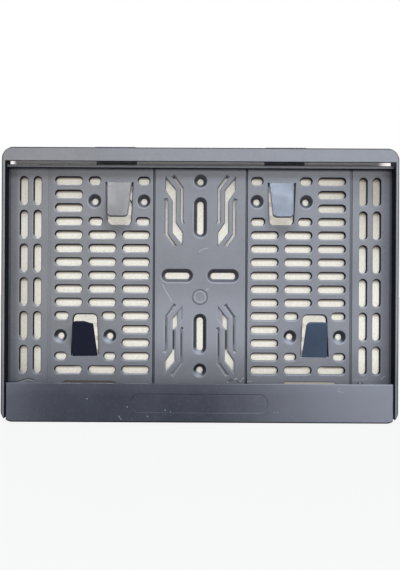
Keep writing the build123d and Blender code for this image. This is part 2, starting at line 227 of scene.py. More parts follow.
# Grey painted shade behind the nearly shut lower slits, glowing in full
PAPER_SLIT_SHADE = (0.17, 0.172, 0.185, 1)
PAPER_SHADOW_AND_CRUMB_BLACK = (0.028, 0.027, 0.028, 1)
# Painted shade in the left hook window
PAPER_WINDOW_SHADE = (0.105, 0.090, 0.078, 1)
GAP_CREAM = (0.94, 0.90, 0.87, 1)
# Share of painted glow of the paper where nothing covers it
PAPER_GLOW = 0.84
PAPER_OPEN = (0.22, 0.5)
SHADE_REACH = 0.008
SHADE_SAMPLES = 8

# Shade on the paper, as ranges: sides, top and bottom, middle, hook windows and the gap at the top
PAPER_LEFT = (-0.12, -0.165, 0.0, 0.40)
PAPER_LEFT_HEIGHT = (0.12, -0.1, 0.45, 1.0)
PAPER_RIGHT = (0.095, 0.165, 0.0, 0.44)
PAPER_RIGHT_HEIGHT = (-0.03, 0.085)
PAPER_LOW = (-0.070, -0.085, 0.0, 0.17)
PAPER_HIGH = (0.035, 0.088, 0.0, 0.26)
PAPER_MIDDLE = 0.042
PAPER_MIDDLE_LOSS = 0.08
WINDOW_HEIGHT = (-0.0885, -0.0905)
RIGHT_WINDOW_LOSS = 0.5
GAP_START = (0.0945, 0.0965)
# The gap at the top is dim, with painted light at its left and right ends
GAP_DIM = (0.1000, 0.1025, 0.03, 0.11)
GAP_LEFT = (-0.1655, -0.1695)
GAP_RIGHT = (0.158, 0.168)

# Shade below the upper edge of each slot: reach from the centre line, first row, pitch and shaded part
HALF_PITCH = 0.5
SLOT_SHADES = [
    {"reach": (0.042, 0.136), "first": 0.08487, "pitch": 0.012119, "edge": (0.56, 0.74, 0.0, 0.80)},
    {"reach": (0.138, 0.170), "first": 0.07576, "pitch": 0.030298, "edge": (0.77, 0.91, 0.0, 0.80)},
]

# Marks: runs of points in x and z, in millimetres, each with its half width and how much it shows
MARK_FADE = (0.4, 1.3)  # a mark fades out between these shares of its half width
PAIRED_NO_SLOTS = [
    ([(72.5, 86.0), (72.5, 48.0)], 12.0, 1.0),
    ([(102.5, -74.0), (102.5, -38.0)], 12.0, 1.0),
    ([(50.5, 66.8), (51.2, 66.8)], 4.0, 1.0),
    ([(94.5, 66.8), (95.5, 66.8)], 4.0, 1.0),
    ([(80.5, -54.6), (81.4, -54.6)], 4.0, 1.0),
    ([(124.5, -54.6), (125.8, -54.6)], 4.0, 1.0),
]
# Painted shade of the tongues on the paper
PAIRED_TONGUES = [
    ([(72.5, 50.0), (72.5, 80.0)], 11.0, 0.33),
    ([(102.5, -68.0), (102.5, -40.0)], 11.0, 0.16),
]
# Painted shade seen through the nearly shut lower slits
PAIRED_SHUT_SLITS = [
    ([(23.6, -49.5), (23.6, -65.5)], 1.6, 1.0),
    ([(30.5, -68.5), (30.5, -37.2), (22.6, -25.9)], 2.0, 1.0),
    ([(16.8, -46.6), (16.8, -78.3), (24.7, -89.5)], 2.0, 1.0),
]
# Painted shadows on the paper: the narrow runs of the lower slits, the tops of the upper flares and of the
# gaps beside the upper tongues
PAIRED_SHADOWS = [
    ([(23.6, -50.5), (23.6, -64.5)], 1.6, 0.8),
    ([(30.5, -46.0), (30.5, -60.0)], 1.6, 0.9),
    ([(16.8, -53.0), (16.8, -71.0)], 1.6, 0.9),
    ([(25.2, 91.5), (23.6, 89.0)], 1.7, 0.9),
    ([(31.6, 90.0), (31.0, 87.4)], 1.7, 0.9),
    ([(61.4, 84.5), (61.8, 81.2)], 1.5, 0.95),
    ([(84.6, 84.5), (84.5, 81.6)], 1.3, 0.95),
]
# Dark crumbs in the gap beside the upper left tongue
LEFT_BLACKS = [
    ([(-63.2, 67.9), (-62.5, 66.9)], 0.9, 0.95),
    ([(-62.6, 66.2), (-61.3, 65.3)], 0.8, 0.95),
]

# Wear on the front: scratches and stains, some painted highlights and shadows, and the mould mark's rings as
# radius, half width and share
WEAR_DEPTH = PANEL_Y + 0.0012
PALE_SCRATCH_AND_HIGHLIGHT = (0.52, 0.53, 0.56, 1)
DARK_STAIN_AND_SHADOW = (0.012, 0.012, 0.015, 1)
WAVE = [
    (-169.9, -95.3), (-164.5, -95.2), (-161.0, -94.8), (-157.5, -93.6), (-155.0, -92.7), (-153.0, -92.4),
    (-150.5, -92.7), (-148.3, -93.6),
]
WAVE_LIGHT_BELOW = 1.1
PANEL_SCRATCHES_AND_HIGHLIGHTS = [
    ([(-33.7, -7.5), (-30.5, -13.7), (-27.1, -19.1), (-25.0, -22.7)], 0.42, 0.55),
    ([(-1.2, 21.4), (3.5, 24.2), (6.7, 24.7)], 0.40, 0.50),
    ([(5.3, -13.0), (7.3, -11.5)], 0.45, 0.60),
    # Painted highlight below the wavy mark
    ([(x, z - WAVE_LIGHT_BELOW) for x, z in WAVE], 0.45, 0.40),
    # Painted highlights of the flash ridge
    ([(31.2, -92.6), (32.6, -91.2), (33.4, -92.4)], 0.55, 0.40),
    ([(35.4, -94.2), (37.2, -93.6), (38.0, -91.6), (39.6, -90.9)], 0.6, 0.30),
    ([(42.8, -94.4), (44.6, -93.6), (46.6, -94.4)], 0.55, 0.30),
    ([(143.2, -95.1), (143.4, -95.1)], 0.70, 0.90),
    ([(162.2, -91.6), (165.2, -88.6)], 0.45, 0.30),
    ([(138.5, -92.4), (148.5, -91.6)], 1.50, 0.10),
    ([(25.0, -94.8), (25.2, -94.8)], 0.50, 0.80),
]
PANEL_STAINS_AND_SHADOWS = [
    # Painted shadow along the wavy mark
    (WAVE, 0.50, 0.80),
    # Painted shadows of the flash ridge
    ([(26.2, -93.4), (28.0, -92.4), (29.6, -93.0)], 0.9, 0.55),
    ([(33.6, -93.9), (35.0, -94.8)], 0.8, 0.6),
    ([(36.6, -92.4), (37.4, -92.9)], 0.7, 0.4),
    # Painted shade at the lower ends of the grooves
    ([(-41.6, -91.5), (-41.3, -94.2)], 1.3, 0.85),
    ([(40.9, -94.2), (41.1, -94.2)], 1.10, 0.80),
    ([(141.6, -95.2), (145.0, -95.2)], 1.20, 0.60),
]
# Round the mould mark: a painted shadow in the ring groove and a painted highlight on the bead
MARK_GROOVE_SHADE = (0.0066, 0.0006, 0.5)
MARK_BEAD_HIGHLIGHT = (0.0049, 0.0008, 0.34)
STRIP_SCRATCHES = [
    ([(-98.4, -108.2), (-98.2, -108.2)], 0.50, 0.70),
    ([(-63.1, -115.1), (-62.9, -115.1)], 0.50, 0.75),
    ([(-45.3, -123.2), (-45.1, -123.2)], 0.45, 0.65),
    ([(-30.1, -117.9), (-29.9, -117.9)], 0.50, 0.70),
    ([(-25.3, -119.2), (-25.1, -119.2)], 0.40, 0.60),
    ([(65.7, -119.5), (65.9, -119.5)], 0.40, 0.40),
    ([(68.2, -118.9), (68.4, -118.9)], 0.40, 0.40),
    ([(-70.6, -123.1), (-68.2, -126.2)], 0.35, 0.45),
    ([(120.4, -100.4), (123.2, -97.8)], 0.40, 0.25),
    ([(120.4, -100.4), (125.3, -101.4)], 0.40, 0.28),
]

# Node trees
MM_PER_M = 1000
FLAT = (1, 0, 1)  # leaves x and z of a place
NUMBER_RESULTS = ("DOT_PRODUCT", "DISTANCE", "LENGTH")
MIX_FIRST, MIX_SECOND, MIX_RESULT = 6, 7, 2  # a Mix node's sockets for colours
Parts = namedtuple("Parts", "x y z")


class Tree:
    """Node tree of a material, the world or a modifier, with a short call for each node."""

    def __init__(self, tree):
        self.tree = tree
        tree.nodes.clear()

    def add(self, kind, settings=None, **inputs):
        """Adds a node. A socket takes a plain value, or another node's output."""
        node = self.tree.nodes.new(kind)
        for name, value in (settings or {}).items():
            setattr(node, name, value)
        for name, value in inputs.items():
            self.set(node, name.replace("_", " "), value)
        return node

    def set(self, node, socket, value):
        """Gives a value or an output to a socket, named or numbered."""
        if isinstance(value, bpy.types.NodeSocket):
            self.tree.links.new(value, node.inputs[socket])
        else:
            node.inputs[socket].default_value = value

    def maths(self, operation, first, second=0.0, clamp=False):
        node = self.add("ShaderNodeMath", {"operation": operation, "use_clamp": clamp})
        self.set(node, 0, first)
        self.set(node, 1, second)
        return node.outputs[0]

    def times(self, first, *others):
        for other in others:
            first = self.maths("MULTIPLY", first, other)
        return first

    def plus(self, first, second, clamp=False):
        return self.maths("ADD", first, second, clamp)

    def minus(self, first, second):
        return self.maths("SUBTRACT", first, second)

    def most(self, first, *others):
        for other in others:
            first = self.maths("MAXIMUM", first, other)
        return first

    def size(self, value):
        return self.maths("ABSOLUTE", value)

    def over(self, value, limit):
        return self.maths("GREATER_THAN", value, limit)

    def under(self, value, limit):
        return self.maths("LESS_THAN", value, limit)

    def between(self, value, low, high):
        return self.times(self.over(value, low), self.under(value, high))

    def left_after(self, losses):
        """What is left of 1 after each of the losses in turn."""
        return self.times(*[self.minus(1.0, loss) for loss in losses])

    def ramp(self, value, low, high, to_low=0.0, to_high=1.0):
        """Value stretched from low..high to to_low..to_high, smooth at both ends."""
        settings = {"interpolation_type": "SMOOTHSTEP"}
        node = self.add("ShaderNodeMapRange", settings, Value=value, From_Min=low, From_Max=high)
        self.set(node, "To Min", to_low)
        self.set(node, "To Max", to_high)
        return node.outputs["Result"]

    def noise(self, coords, scale, detail, rough):
        node = self.add("ShaderNodeTexNoise", Vector=coords, Scale=scale, Detail=detail, Roughness=rough)
        return node.outputs["Fac"]

    def blend(self, share, first, second):
        """Colour between the first, at a share of 0, and the second."""
        node = self.add("ShaderNodeMix", {"data_type": "RGBA"}, Factor=share)
        self.set(node, MIX_FIRST, first)
        self.set(node, MIX_SECOND, second)
        return node.outputs[MIX_RESULT]

    def vector(self, operation, first, second=(0, 0, 0)):
        node = self.add("ShaderNodeVectorMath", {"operation": operation})
        self.set(node, 0, first)
        self.set(node, 1, second)
        return node.outputs["Value" if operation in NUMBER_RESULTS else "Vector"]

    def scaled(self, vector, factor):
        node = self.add("ShaderNodeVectorMath", {"operation": "SCALE"}, Scale=factor)
        self.set(node, 0, vector)
        return node.outputs["Vector"]

    def split(self, vector):
        """The x, y and z of a vector."""
        return Parts(*self.add("ShaderNodeSeparateXYZ", Vector=vector).outputs)

    def mixed_shaders(self, share, first, second):
        node = self.add("ShaderNodeMixShader", Fac=share)
        self.set(node, 1, first)
        self.set(node, 2, second)
        return node.outputs[0]

    def show(self, surface, kind="ShaderNodeOutputMaterial"):
        self.add(kind, Surface=surface)


def new_material(name):
    material = bpy.data.materials.new(name)
    material.use_nodes = True
    return material, Tree(material.node_tree)


def places(tree):
    """Places on the object, in its own frame."""
    return tree.add("ShaderNodeTexCoord").outputs["Object"]


def tinted(colour, factor):
    return tuple(min(1.0, c * factor) for c in colour[:3]) + (1,)


def mottled(tree, noise, colour, tints):
    """Colour between two tints of one colour, by a noise."""
    low, high = tints
    return tree.blend(tree.ramp(noise, *FINE_SPREAD), tinted(colour, low), tinted(colour, high))


def both_sides(marks):
    """The marks and their mirror images in the centre line."""
    return [([(side * x, z) for x, z in points], *rest) for side in (-1, 1) for points, *rest in marks]


def faded(tree, away, half_width, share):
    """The share on a line, and 0 further away from it than its half width."""
    start, end = [half_width * fade for fade in MARK_FADE]
    return tree.ramp(away, start, end, share, 0.0)


def marked(tree, coords, marks):
    """How much of the marks shows at each place."""
    flat = tree.vector("MULTIPLY", coords, FLAT)
    shown = 0.0
    for points, half_width, share in marks:
        corners = [Vector((x, 0, z)) / MM_PER_M for x, z in points]
        for start, end in zip(corners, corners[1:]):
            run = end - start
            offset = tree.vector("SUBTRACT", flat, start)
            along = tree.vector("DOT_PRODUCT", offset, run / run.length_squared)
            foot = tree.scaled(run, tree.maths("MULTIPLY", along, 1.0, clamp=True))
            away = tree.vector("DISTANCE", offset, foot)
            shown = tree.most(shown, faded(tree, away, half_width / MM_PER_M, share))
    return shown


def ringed(tree, coords, radius, half_width, share):
    """How much of a ring round the mould mark's centre shows at each place."""
    away = tree.vector("DISTANCE", tree.vector("MULTIPLY", coords, FLAT), (0, 0, MARK_Z))
    return faded(tree, tree.size(tree.minus(away, radius)), half_width, share)


def weathered_and_lit(tree, low, high):
    """1 on faces turned to the front, upwards and to the light, where the bloom and painted sheen lie, and 0
    on faces turned away, left as painted shade.
    """
    normal = tree.add("ShaderNodeNewGeometry").outputs["Normal"]
    to_weather = tree.ramp(tree.vector("DOT_PRODUCT", normal, WEATHER_AND_LIGHT), low, high)
    return tree.most(to_weather, tree.ramp(tree.split(normal).y, low, high, 0.0, BACK_SHARE))


def near_outline(tree, coords):
    """1 on the rounding along the outer outline, and 0 inside it."""
    folded = tree.vector("ABSOLUTE", tree.vector("SUBTRACT", coords, OUTLINE_CENTRE))
    corner = tree.vector("SUBTRACT", folded, [half - OUTLINE_CORNER for half in OUTLINE_HALF])
    beyond = tree.vector("MULTIPLY", tree.vector("MAXIMUM", corner), FLAT)
    return tree.ramp(tree.vector("LENGTH", beyond), OUTLINE_CORNER - OUTLINE_BAND, OUTLINE_CORNER)


def plastic_surface(tree, colour, rough, coords, grain, specular):
    """Joins colour, gloss and moulded grain into one surface."""
    bump = tree.add("ShaderNodeBump", Strength=grain, Distance=GRAIN_DEPTH, Height=tree.noise(coords, *GRAIN))
    surface = tree.add("ShaderNodeBsdfPrincipled", Base_Color=colour, Roughness=rough)
    tree.set(surface, "Specular IOR Level", specular)
    tree.set(surface, "Normal", bump.outputs["Normal"])
    tree.show(surface.outputs["BSDF"])


def bloom_and_sheen_colour(tree, bloom_and_sheen, x, z, cloud, fine):
    """Grey bloom, partly painted sheen: clouded and dusty, warmer at the upper left and paler low in the
    middle field.
    """
    warm = tuple(c * w for c, w in zip(bloom_and_sheen, WARMTH)) + (1,)
    cool = tree.most(tree.ramp(x, *WARM_SIDE), tree.ramp(z, *WARM_HEIGHT))
    thin, thick = [tree.blend(cool, tinted(warm, tint), tinted(bloom_and_sheen, tint)) for tint in CLOUD_TINTS]
    clouded = tree.blend(tree.ramp(cloud, *CLOUD_EDGES), thin, thick)
    dusty = tree.blend(tree.ramp(fine, *DUST), clouded, tinted(bloom_and_sheen, DUST_TINT))
    across = tree.plus(tree.ramp(x, *LIFT_LEFT), tree.ramp(x, *LIFT_RIGHT))
    lift = tree.times(tree.ramp(z, *LIFT_START), tree.ramp(z, *LIFT_END), across)
    return tree.blend(lift, dusty, tinted(bloom_and_sheen, LIFT_TINT))


def bloom_and_sheen_share(tree, coords, limits):
    """How much of the bloom and painted sheen lies at each place, after the painted shade on the outline
    rounding, the groove floors and the rib, at the top, low down and by the walls.
    """
    x, y, z = tree.split(coords)
    on_panel = tree.over(y, PANEL_Y - PANEL_SLACK)
    outline = tree.times(near_outline(tree, coords), tree.ramp(z, *OUTLINE_LOSS))
    in_groove = tree.under(tree.size(tree.minus(tree.size(x), GROOVE_X)), GROOVE_HALF)
    sunk = tree.times(in_groove, tree.over(y, SUNK_Y), SUNK_LOSS)
    low = tree.times(tree.ramp(z, *LOW_HEIGHT), tree.ramp(x, *LOW_LOSS))
    high = tree.times(tree.ramp(z, *HIGH_HEIGHT), tree.ramp(x, *HIGH_LOSS), on_panel)
    soft = tree.between(x, SOFT_GROOVE_X - SOFT_FLOOR_HALF, SOFT_GROOVE_X + SOFT_FLOOR_HALF)
    soft = tree.times(soft, tree.between(y, *SOFT_FLOOR_Y), SOFT_LOSS)
    rib = tree.times(tree.between(z, *RIB_Z), tree.between(y, *RIB_Y), RIB_LOSS)
    by_wall = tree.times(tree.most(*[tree.ramp(x, *loss) for loss in WALL_LOSSES]), on_panel)
    losses = [outline, sunk, low, high, soft, rib, by_wall]
    return tree.times(weathered_and_lit(tree, *limits), tree.left_after(losses))


def worn_and_lit(tree, coords, y, colour):
    """The colour with its stains and scratches, and painted highlights and shadows of the marks, ridges and
    rings, on the front only.
    """
    on_front = tree.under(y, WEAR_DEPTH)
    stains_and_shadows = tree.most(marked(tree, coords, PANEL_STAINS_AND_SHADOWS), ringed(tree, coords, *MARK_GROOVE_SHADE))
    scratches_and_highlights = tree.most(marked(tree, coords, PANEL_SCRATCHES_AND_HIGHLIGHTS), ringed(tree, coords, *MARK_BEAD_HIGHLIGHT))
    colour = tree.blend(tree.times(stains_and_shadows, on_front), colour, DARK_STAIN_AND_SHADOW)
    return tree.blend(tree.times(scratches_and_highlights, on_front), colour, PALE_SCRATCH_AND_HIGHLIGHT)


def frame_plastic(name, bloom_and_sheen, limits, rough, grain, glint=None):
    """Black moulded plastic, clouded grey as bloom and painted sheen where it looks forward, and, if it has a
    painted glint, paler low down with a darker painted shade black.
    """
    material, tree = new_material(name)
    coords = places(tree)
    x, y, z = tree.split(coords)
    cloud = tree.noise(coords, *FRAME_CLOUD)
    fine = tree.noise(coords, *FINE)
    grey = bloom_and_sheen_colour(tree, bloom_and_sheen, x, z, cloud, fine)
    black = mottled(tree, fine, BLACK, BARE_TINTS)
    if glint:
        low = tree.ramp(z, *GLINT_HEIGHT)
        grey = tree.blend(low, grey, glint)
        black = tree.blend(low, black, WALL_SHADE_BLACK)
    colour = worn_and_lit(tree, coords, y, tree.blend(bloom_and_sheen_share(tree, coords, limits), black, grey))
    by_cloud = tree.ramp(cloud, *CLOUD_SPREAD, *[rough + change for change in CLOUD_GLOSS])
    gloss = tree.plus(by_cloud, tree.ramp(fine, *FINE_SPREAD, *FINE_GLOSS))
    plastic_surface(tree, colour, gloss, coords, grain, PLASTIC_SPECULAR)
    return material


def bare_plastic(name, black, rough, grain, specular):
    """Bare black plastic without the grey bloom; in its darker blacks it is the painted shade of faces turned
    from the light or downwards.
    """
    material, tree = new_material(name)
    coords = places(tree)
    colour = mottled(tree, tree.noise(coords, *FINE), black, DULL_TINTS)
    plastic_surface(tree, colour, rough, coords, grain, specular)
    return material


def tongue_plastic():
    """Smooth dark face of the spring tongues; the lower ones are painted near-black as a dark reflection, and
    the lower right one has patches of painted bluish reflection.
    """
    material, tree = new_material("tongue_plastic")
    coords = places(tree)
    place = tree.split(coords)
    cloud = tree.noise(coords, *TONGUE_CLOUD)
    dark = tree.blend(tree.over(place.z, 0.0), LOWER_TONGUE_SHADE, BLACK)
    low_right = tree.times(tree.over(place.x, 0.0), tree.under(place.z, 0.0))
    colour = tree.blend(tree.times(low_right, tree.ramp(cloud, *TONGUE_PATCHES)), dark, TONGUE_BLUE_REFLECTION)
    gloss = tree.ramp(cloud, *CLOUD_SPREAD, *TONGUE_GLOSS)
    plastic_surface(tree, colour, gloss, coords, TONGUE_GRAIN, TONGUE_SPECULAR)
    return material


def strip_plastic(name, lift, rough):
    """Satin black strip with painted sheen, grey towards its right end, a little at the left and along its
    top, with dust and scratches.
    """
    material, tree = new_material(name)
    coords = places(tree)
    place = tree.split(coords)
    cloud = tree.noise(coords, *STRIP_CLOUD)
    fine = tree.noise(coords, *FINE)
    ends = tree.most(tree.ramp(place.x, *STRIP_RIGHT_SHEEN), tree.ramp(place.x, *STRIP_LEFT_SHEEN))
    share = tree.plus(ends, tree.ramp(place.z, *STRIP_UPPER_SHEEN))
    share = tree.plus(share, tree.ramp(cloud, *CLOUD_SPREAD, *STRIP_PATCHES), clamp=True)
    share = tree.times(share, weathered_and_lit(tree, *STRIP_LIMITS))
    colour = tree.blend(share, tinted(STRIP_BLACK, lift), tinted(STRIP_SHEEN_AND_DUST, lift))
    colour = tree.blend(tree.ramp(fine, *STRIP_DUST), colour, STRIP_SHEEN_AND_DUST)
    colour = tree.blend(marked(tree, coords, STRIP_SCRATCHES), colour, PALE_SCRATCH_AND_HIGHLIGHT)
    gloss = tree.ramp(cloud, *CLOUD_SPREAD, rough - STRIP_GLOSS, rough + STRIP_GLOSS)
    plastic_surface(tree, colour, gloss, coords, STRIP_GRAIN, PLASTIC_SPECULAR)
    return material


def node_group(name):
    """Geometry node group with one mesh in and one out."""
    group = bpy.data.node_groups.new(name, "GeometryNodeTree")
    for way in ("INPUT", "OUTPUT"):
        group.interface.new_socket("Geometry", in_out=way, socket_type="NodeSocketGeometry")
    tree = Tree(group)
    start = tree.add("NodeGroupInput").outputs[0]
    end = tree.add("NodeGroupOutput")
    return group, tree, start, end


def joined_mesh_group():
    """Joins the faces of the imported mesh along their shared edges and drops its stored normals."""
    group, tree, start, end = node_group("joined_mesh")
    merged = tree.add("GeometryNodeMergeByDistance", Geometry=start, Distance=WELD_DISTANCE)
    plain = tree.add("GeometryNodeRemoveAttribute", Geometry=merged.outputs[0], Name="custom_normal")
    tree.set(end, "Geometry", plain.outputs[0])
    return group


def stored(tree, geometry, name, kind, value):
    """The mesh with a value kept on each of its edges."""
    settings = {"data_type": kind, "domain": "EDGE"}
    store = tree.add("GeometryNodeStoreNamedAttribute", settings, Geometry=geometry, Name=name)
    tree.set(store, "Value", value)
    return store.outputs[0]


def in_box(tree, position, low, high):
    """1 where x, taken without its sign, and z lie between the low and high corners."""
    place = tree.split(position)
    across = tree.size(place.x)
    return tree.times(tree.between(across, low[0], high[0]), tree.between(place.z, low[1], high[1]))


def edge_weight_group(name, full, fine_boxes):
    """Weights the outward sharp edges for the bevel: full, or a share of it inside the fine boxes."""
    group, tree, start, end = node_group(name)
    angle = tree.add("GeometryNodeInputMeshEdgeAngle").outputs["Signed Angle"]
    position = tree.add("GeometryNodeInputPosition").outputs[0]
    weight = tree.times(tree.over(angle, SHARP_ANGLE), full)
    for low, high, share in fine_boxes:
        loss = tree.times(in_box(tree, position, low, high), 1 - share)
        weight = tree.times(weight, tree.minus(1.0, loss))
    tree.set(end, "Geometry", stored(tree, start, "bevel_weight_edge", "FLOAT", weight))
    return group


def wall_faces(tree, position, turn):
    """Faces turned from the light, apart from the soft grooves, and the roundings of the rim and the pads,
    which get the darker black as painted shade.
    """
    x, y, z = tree.split(position)
    across = tree.size(x)
    lit = tree.plus(tree.times(turn.x, WALL_LIGHT[0]), tree.times(turn.z, WALL_LIGHT[1]))
    unlit = tree.times(tree.under(lit, WALL_LIT), tree.between(turn.y, WALL_TURN, BACK_TURN))
    soft = tree.between(across, SOFT_GROOVE_X - SOFT_GROOVE_HALF, SOFT_GROOVE_X + SOFT_GROOVE_HALF)
    soft = tree.times(soft, tree.over(y, SINK_Y[0] - PANEL_SLACK), tree.under(tree.size(turn.z), STEEP_TURN))
    at_side = tree.over(across, OUTLINE_HIGH.x - RIM_BARE)
    at_top = tree.between(z, OUTLINE_HIGH.z - RIM_BARE, PAD_EDGE[1])
    rim = tree.times(tree.most(at_side, at_top), tree.between(turn.y, RIM_TURN, BACK_TURN))
    pads = tree.times(tree.over(z, PAD_EDGE[0]), tree.between(turn.y, PAD_TURN, BACK_TURN))
    return tree.most(tree.times(unlit, tree.minus(1.0, soft)), rim, pads)


def side_faces(tree, position, turn):
    """Outer faces of the side, top and bottom walls."""
    outer = tree.over(near_outline(tree, position), OUTER_SHARE)
    return tree.times(outer, tree.between(turn.y, SIDE_TURN, BACK_TURN))


def sink_faces(tree, position, turn):
    """Cones of the countersinks."""
    return tree.times(tree.between(turn.y, *SINK_TURN), tree.between(tree.split(position).y, *SINK_Y))


def slit_faces(tree, position, turn):
    """Sloping walls of the zig-zag slits."""
    inside = [in_box(tree, position, (SLIT_X[0], low), (SLIT_X[1], high)) for low, high in SLIT_HEIGHTS]
    return tree.times(tree.most(*inside), tree.between(turn.y, WALL_TURN, SLIT_TURN))


def one_pair(tree, position, tongue):
    """What stands clear of the panel in one pair of tongues."""
    x, low, high = tongue
    inside = in_box(tree, position, (x - TONGUE_HALF, low), (x + TONGUE_HALF, high))
    return tree.times(inside, tree.under(tree.split(position).y, TONGUE_FRONT))


def tongue_faces(tree, position, turn):
    """All four tongues, whichever way their faces turn."""
    return tree.most(one_pair(tree, position, UPPER_TONGUE), one_pair(tree, position, LOWER_TONGUE))


def tongue_edges(tree, position, turn):
    """Edges of the upper tongues, painted pale as a highlight where they catch the light."""
    return tree.times(one_pair(tree, position, UPPER_TONGUE), tree.over(turn.y, TONGUE_TURN))


def under_faces(tree, position, turn):
    """Faces turned downwards, wherever they are, which get near-black as painted shade."""
    return tree.under(turn.z, UNDER_TURN)


def finish_group(name, finishes):
    """Marks the edges that stay sharp in the shading, and gives chosen faces finishes of their own."""
    group, tree, start, end = node_group(name)
    angle = tree.add("GeometryNodeInputMeshEdgeAngle").outputs["Unsigned Angle"]
    made = stored(tree, start, "sharp_edge", "BOOLEAN", tree.over(angle, CREASE_ANGLE))
    position = tree.add("GeometryNodeInputPosition").outputs[0]
    turn = tree.split(tree.add("GeometryNodeInputNormal").outputs[0])
    for choose, material in finishes:
        chosen = choose(tree, position, turn)
        dressed = tree.add("GeometryNodeSetMaterial", Geometry=made, Selection=chosen, Material=material)
        made = dressed.outputs[0]
    tree.set(end, "Geometry", made)
    return group


def round_edges(node, joined_mesh, weights, finishing, materials):
    """Gives a moulding rounded edges, with the rounding in its second material, a paler one, partly wear and
    partly painted highlight.
    """
    node.data.materials.clear()
    for material in materials:
        node.data.materials.append(material)
    node.modifiers.new("joined_mesh", "NODES").node_group = joined_mesh
    flats = node.modifiers.new("flat_faces", "DECIMATE")
    flats.decimate_type = "DISSOLVE"
    flats.angle_limit = FLAT_ANGLE
    node.modifiers.new("edge_weights", "NODES").node_group = weights
    bevel = node.modifiers.new("round_edges", "BEVEL")
    bevel.limit_method = "WEIGHT"
    bevel.width = EDGE_WIDTH
    bevel.segments = EDGE_SEGMENTS
    bevel.use_clamp_overlap = False
    bevel.loop_slide = False
    bevel.material = WORN_AND_HIGHLIT_EDGES
    node.modifiers.new("finish", "NODES").node_group = finishing
    normals = node.modifiers.new("even_normals", "WEIGHTED_NORMAL")
    normals.keep_sharp = True


def dress_pieces():
    """Rounds the edges of the two mouldings and gives them their finishes."""
    joined_mesh = joined_mesh_group()
    plastic = frame_plastic("frame_plastic", BLOOM_AND_SHEEN, limits=(0.05, 0.7), rough=0.52, grain=0.25)
    # Rounded edges: paler, partly wear and partly painted highlight
    edges = frame_plastic("frame_worn_and_highlit_edges", EDGE_BLOOM_AND_HIGHLIGHT, limits=(0.15, 0.75), rough=0.45, grain=0.1)
    # Countersink cones: grey only where turned to the light, as painted sheen, with a painted glint low down
    sinks = frame_plastic("frame_sinks", SINK_BLOOM_AND_SHEEN, limits=(0.66, 1.06), rough=0.5, grain=0.2,
                          glint=SINK_GLINT)
    # Slit walls and upper tongue edges: pale as painted highlight, with a painted glint low down
    slits = frame_plastic("frame_slits", EDGE_BLOOM_AND_HIGHLIGHT, limits=(-0.5, 0.1), rough=0.52, grain=0.2,
                          glint=SLIT_GLINT)
    # Faces turned from the light, the rim and the pads: darker, duller black as painted shade
    walls = bare_plastic("frame_shaded_walls", WALL_SHADE_BLACK, *DULL)
    sides = bare_plastic("frame_sides", SIDE_BLACK, *SATIN)
    tongue = tongue_plastic()
    finishes = [(wall_faces, walls), (side_faces, sides), (sink_faces, sinks), (slit_faces, slits),
                (tongue_faces, tongue), (tongue_edges, slits)]
    round_edges(BASE, joined_mesh, edge_weight_group("base_edge_weights", BASE_SHARE, FINE_BOXES),
                finish_group("base_finish", finishes), [plastic, edges, tongue, walls, sinks, slits, sides])
    plastic = strip_plastic("strip_plastic", lift=1.0, rough=0.36)
    # Rounded edges of the strip: paler, partly wear and partly painted highlight
    edges = strip_plastic("strip_worn_and_highlit_edges", lift=1.35, rough=0.34)
    # Strip faces turned downwards: near-black as painted shade
    under = bare_plastic("strip_shaded_under_side", UNDER_SHADE_BLACK, *DULL)
    round_edges(STRIP, joined_mesh, edge_weight_group("strip_edge_weights", STRIP_SHARE, []),
                finish_group("strip_finish", [(under_faces, under)]), [plastic, edges, under])


def add_mesh(name, vertices, faces, material):
    mesh = bpy.data.meshes.new(name)
    mesh.from_pydata(vertices, [], faces)
    mesh.materials.append(material)
    thing = bpy.data.objects.new(name, mesh)
    bpy.context.scene.collection.objects.link(thing)
    return thing


def rounded_outline(low, high, radius, steps):
    """Points round a rectangle with rounded corners, as x and z pairs."""
    points = []
    corners = [(high[0], high[1], 0), (low[0], high[1], 90), (low[0], low[1], 180), (high[0], low[1], 270)]
    for x, z, start in corners:
        centre_x = x - math.copysign(radius, x)
        centre_z = z - math.copysign(radius, z)
        for i in range(steps + 1):
            turn = math.radians(start + 90 * i / steps)
            points.append((centre_x + radius * math.cos(turn), centre_z + radius * math.sin(turn)))
    return points


def paper_light(tree, coords):
    """How much of the paper's light is left at each place."""
    place = tree.split(coords)
    across = tree.size(place.x)
    losses = [
        tree.times(tree.ramp(place.x, *PAPER_RIGHT), tree.ramp(place.z, *PAPER_RIGHT_HEIGHT)),
        tree.times(tree.ramp(place.x, *PAPER_LEFT), tree.ramp(place.z, *PAPER_LEFT_HEIGHT)),
        tree.ramp(place.z, *PAPER_LOW),
        tree.ramp(place.z, *PAPER_HIGH),
        tree.times(tree.under(across, PAPER_MIDDLE), PAPER_MIDDLE_LOSS),
        tree.times(tree.ramp(place.z, *WINDOW_HEIGHT, 0.0, RIGHT_WINDOW_LOSS), tree.over(place.x, 0.0)),
        marked(tree, coords, both_sides(PAIRED_TONGUES)),
    ]
    by_slots = tree.minus(1.0, marked(tree, coords, both_sides(PAIRED_NO_SLOTS)))
    for shade in SLOT_SHADES:
        row = tree.maths("DIVIDE", tree.minus(place.z, shade["first"]), shade["pitch"])
        height = tree.maths("FRACT", tree.plus(row, HALF_PITCH))
        by_edge = tree.times(tree.ramp(height, *shade["edge"]), tree.between(across, *shade["reach"]))
        losses.append(tree.times(by_edge, by_slots))
    return tree.left_after(losses)


